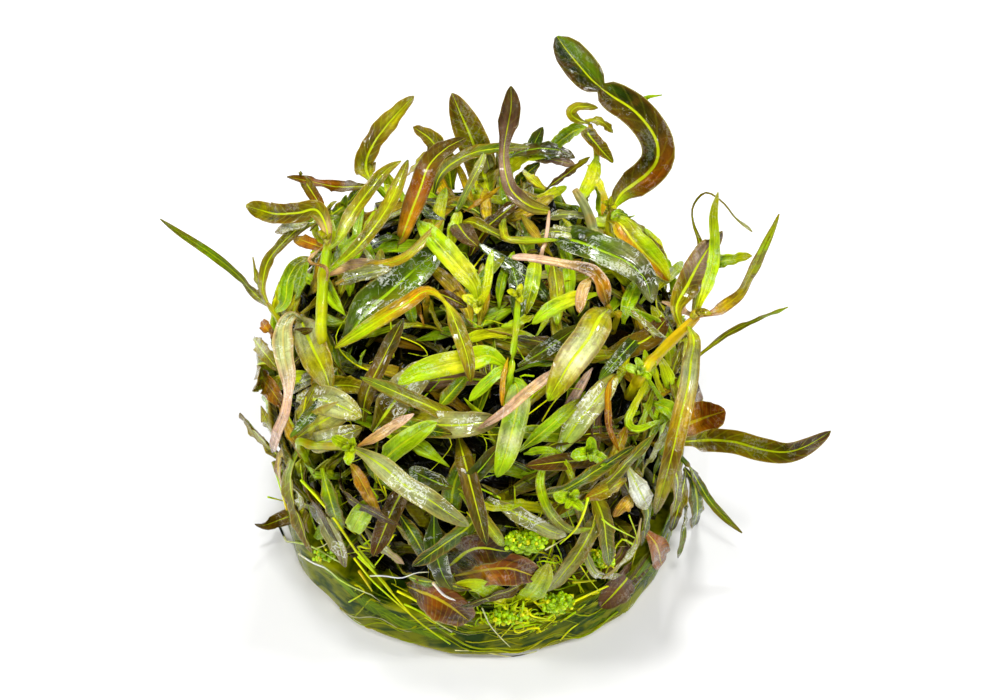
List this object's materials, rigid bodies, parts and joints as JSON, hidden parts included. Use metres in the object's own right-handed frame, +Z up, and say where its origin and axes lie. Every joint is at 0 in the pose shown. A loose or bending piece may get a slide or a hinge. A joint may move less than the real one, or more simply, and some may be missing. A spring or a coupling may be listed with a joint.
{
  "type": "in-vitro aquarium plant clump",
  "caption": "Dense clump of slender-leaved stem plant shoots, turned out of its culture cup on a round, see-through cake of nutrient gel.",
  "frame": {"origin": "centre of the gel cake's flat underside", "axes": "+Z up along the cake's axis, +Y towards the back, away from the side that the picture shows, +X to the picture's right"},
  "size_m": [0.1251, 0.1086, 0.0815],
  "materials": {
    "gel": "wet, see-through yellow-green gel",
    "thicket": "wet, glossy small leaves in mixed greens and browns",
    "stem": "wet, glossy yellow-green stem",
    "leaf_lime": "wet, glossy lime leaf",
    "leaf_green": "wet, glossy green leaf",
    "leaf_dark": "wet, glossy dark green leaf",
    "leaf_olive": "wet, glossy olive leaf",
    "leaf_bronze": "wet, glossy bronze leaf",
    "leaf_purple": "wet, glossy grey-purple leaf",
    "leaf_pink": "wet, thin pink-brown leaf",
    "leaf_orange": "wet, glossy orange-brown leaf",
    "leaf_grey": "wet, thin grey-green leaf",
    "leaf_cream": "wet, bleached, half see-through leaf",
    "callus": "wet, knobbly bright green growth"
  },
  "bodies": {
    "root": {"gel_cake": "gel", "leaf_thicket": "thicket", "callus": "callus", "stem_left": "stem", "stem_far_left": "stem", "stem_centre": "stem", "stem_right": "stem", "stem_thick": "stem", "stem_arch": "stem", "stem_top": "stem", "stem_whorl": "stem", "stem_upper_left": "stem", "stem_pink": "stem", "stem_olive": "stem", "stem_cream": "stem", "stem_low_right": "stem", "stem_back_left": "stem", "stem_back": "stem", "stem_back_right": "stem", "leaf_arch": "leaf_bronze", "leaf_arch_partner": "leaf_lime", "leaf_top_curl": "leaf_pink", "leaf_top_drop": "leaf_purple", "leaf_top_green": "leaf_green", "leaf_orange_edge": "leaf_orange", "leaf_olive_broad": "leaf_olive", "leaf_grey_purple": "leaf_purple", "leaf_dark_upright": "leaf_dark", "leaf_folded_orange": "leaf_orange", "leaf_brown_arch": "leaf_bronze", "leaf_brown_level": "leaf_bronze", "leaf_olive_left": "leaf_olive", "leaf_lime_long": "leaf_lime", "leaf_olive_long": "leaf_olive", "leaf_far_left": "leaf_olive", "leaf_arching_left": "leaf_olive", "leaf_green_left": "leaf_green", "leaf_speckled": "leaf_dark", "leaf_silver": "leaf_grey", "leaf_lime_v": "leaf_lime", "leaf_pair_olive": "leaf_olive", "leaf_pink_arch": "leaf_pink", "leaf_big_lime": "leaf_lime", "leaf_white_speckle": "leaf_green", "leaf_cream": "leaf_cream", "leaf_pink_strip": "leaf_pink", "leaf_whorl_long": "leaf_grey", "leaf_hanging_pink": "leaf_pink", "leaf_right_long": "leaf_olive", "leaf_right_upright": "leaf_lime", "leaf_right_purple": "leaf_purple", "leaf_right_folded": "leaf_bronze", "leaf_right_hanging": "leaf_grey", "leaf_round_orange": "leaf_orange", "leaf_brown_long": "leaf_bronze", "leaf_green_narrow": "leaf_green", "leaf_pair_back_left": "leaf_olive", "leaf_pair_back": "leaf_bronze", "leaf_pair_back_right": "leaf_lime"}
  },
  "joints": []
}
